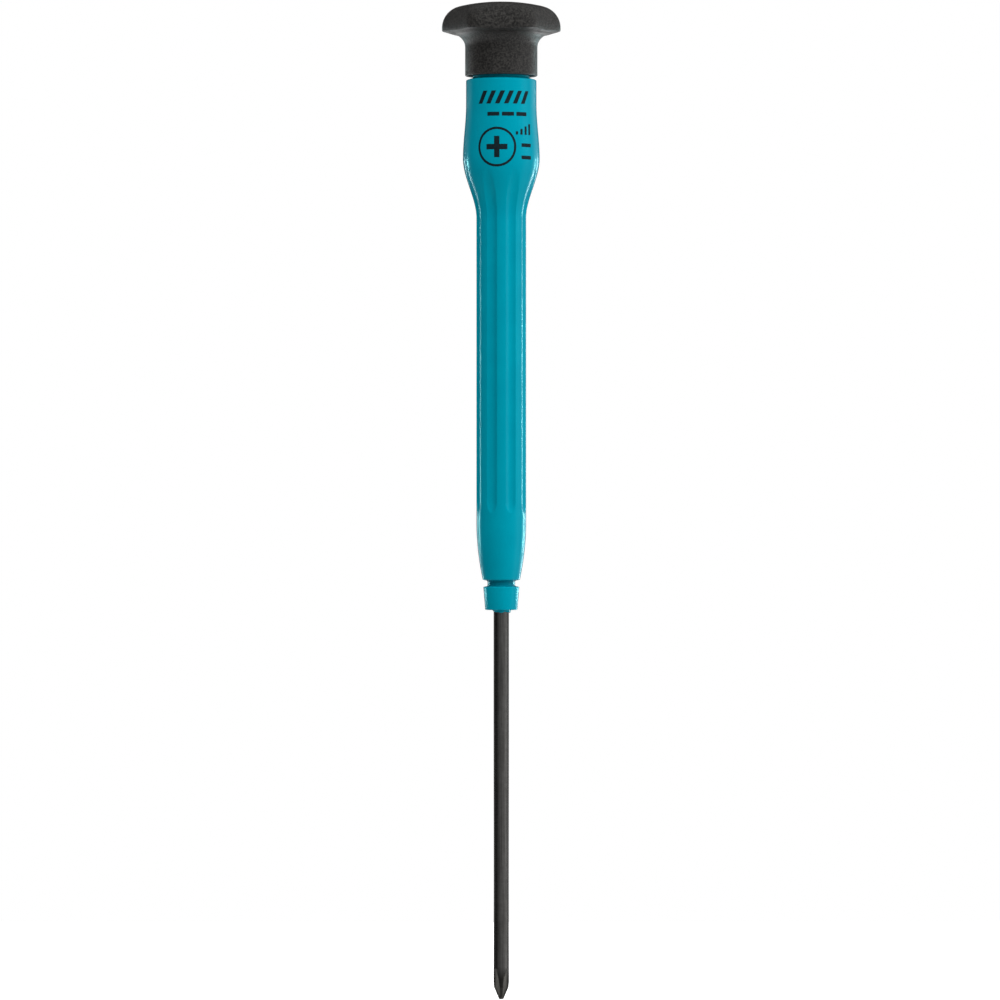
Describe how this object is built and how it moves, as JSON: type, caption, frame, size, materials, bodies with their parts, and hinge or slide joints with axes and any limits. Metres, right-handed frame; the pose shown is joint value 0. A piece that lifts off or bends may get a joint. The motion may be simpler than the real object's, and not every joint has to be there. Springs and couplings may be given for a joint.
{
  "type": "watchmaker screwdriver",
  "caption": "Slim fixed-blade precision screwdriver with a small cross point, a fluted teal grip that swells to a bulb, and a hexagonal cap that turns freely for fingertip pressure.",
  "frame": {"origin": "centre of the small flat end face of the cross point, the lowest point of the driver when it stands on its tip", "axes": "+Z along the tool's axis from the tip towards the cap; -Y is the front, which one land of the grip and one flat of the cap face; +X is to the right seen from the front, through a corner of the cap"},
  "size_m": [0.0184, 0.0166, 0.1549],
  "materials": {
    "handle_plastic": "teal moulded plastic, semi-gloss",
    "blade_steel": "black oxide, satin",
    "ball_steel": "ground and polished bearing steel",
    "cap_plastic": "charcoal moulded plastic, fine matt grain"
  },
  "bodies": {
    "driver": {"handle": "handle_plastic", "blade": "blade_steel", "thrust_ball": "ball_steel"},
    "cap": {"swivel_cap": "cap_plastic"}
  },
  "joints": [
    {"name": "cap_swivel", "type": "hinge", "parent": "driver", "child": "cap", "pos_m": [0, 0, 0.1435], "axis": [0, 0, 1], "continuous": true}
  ]
}
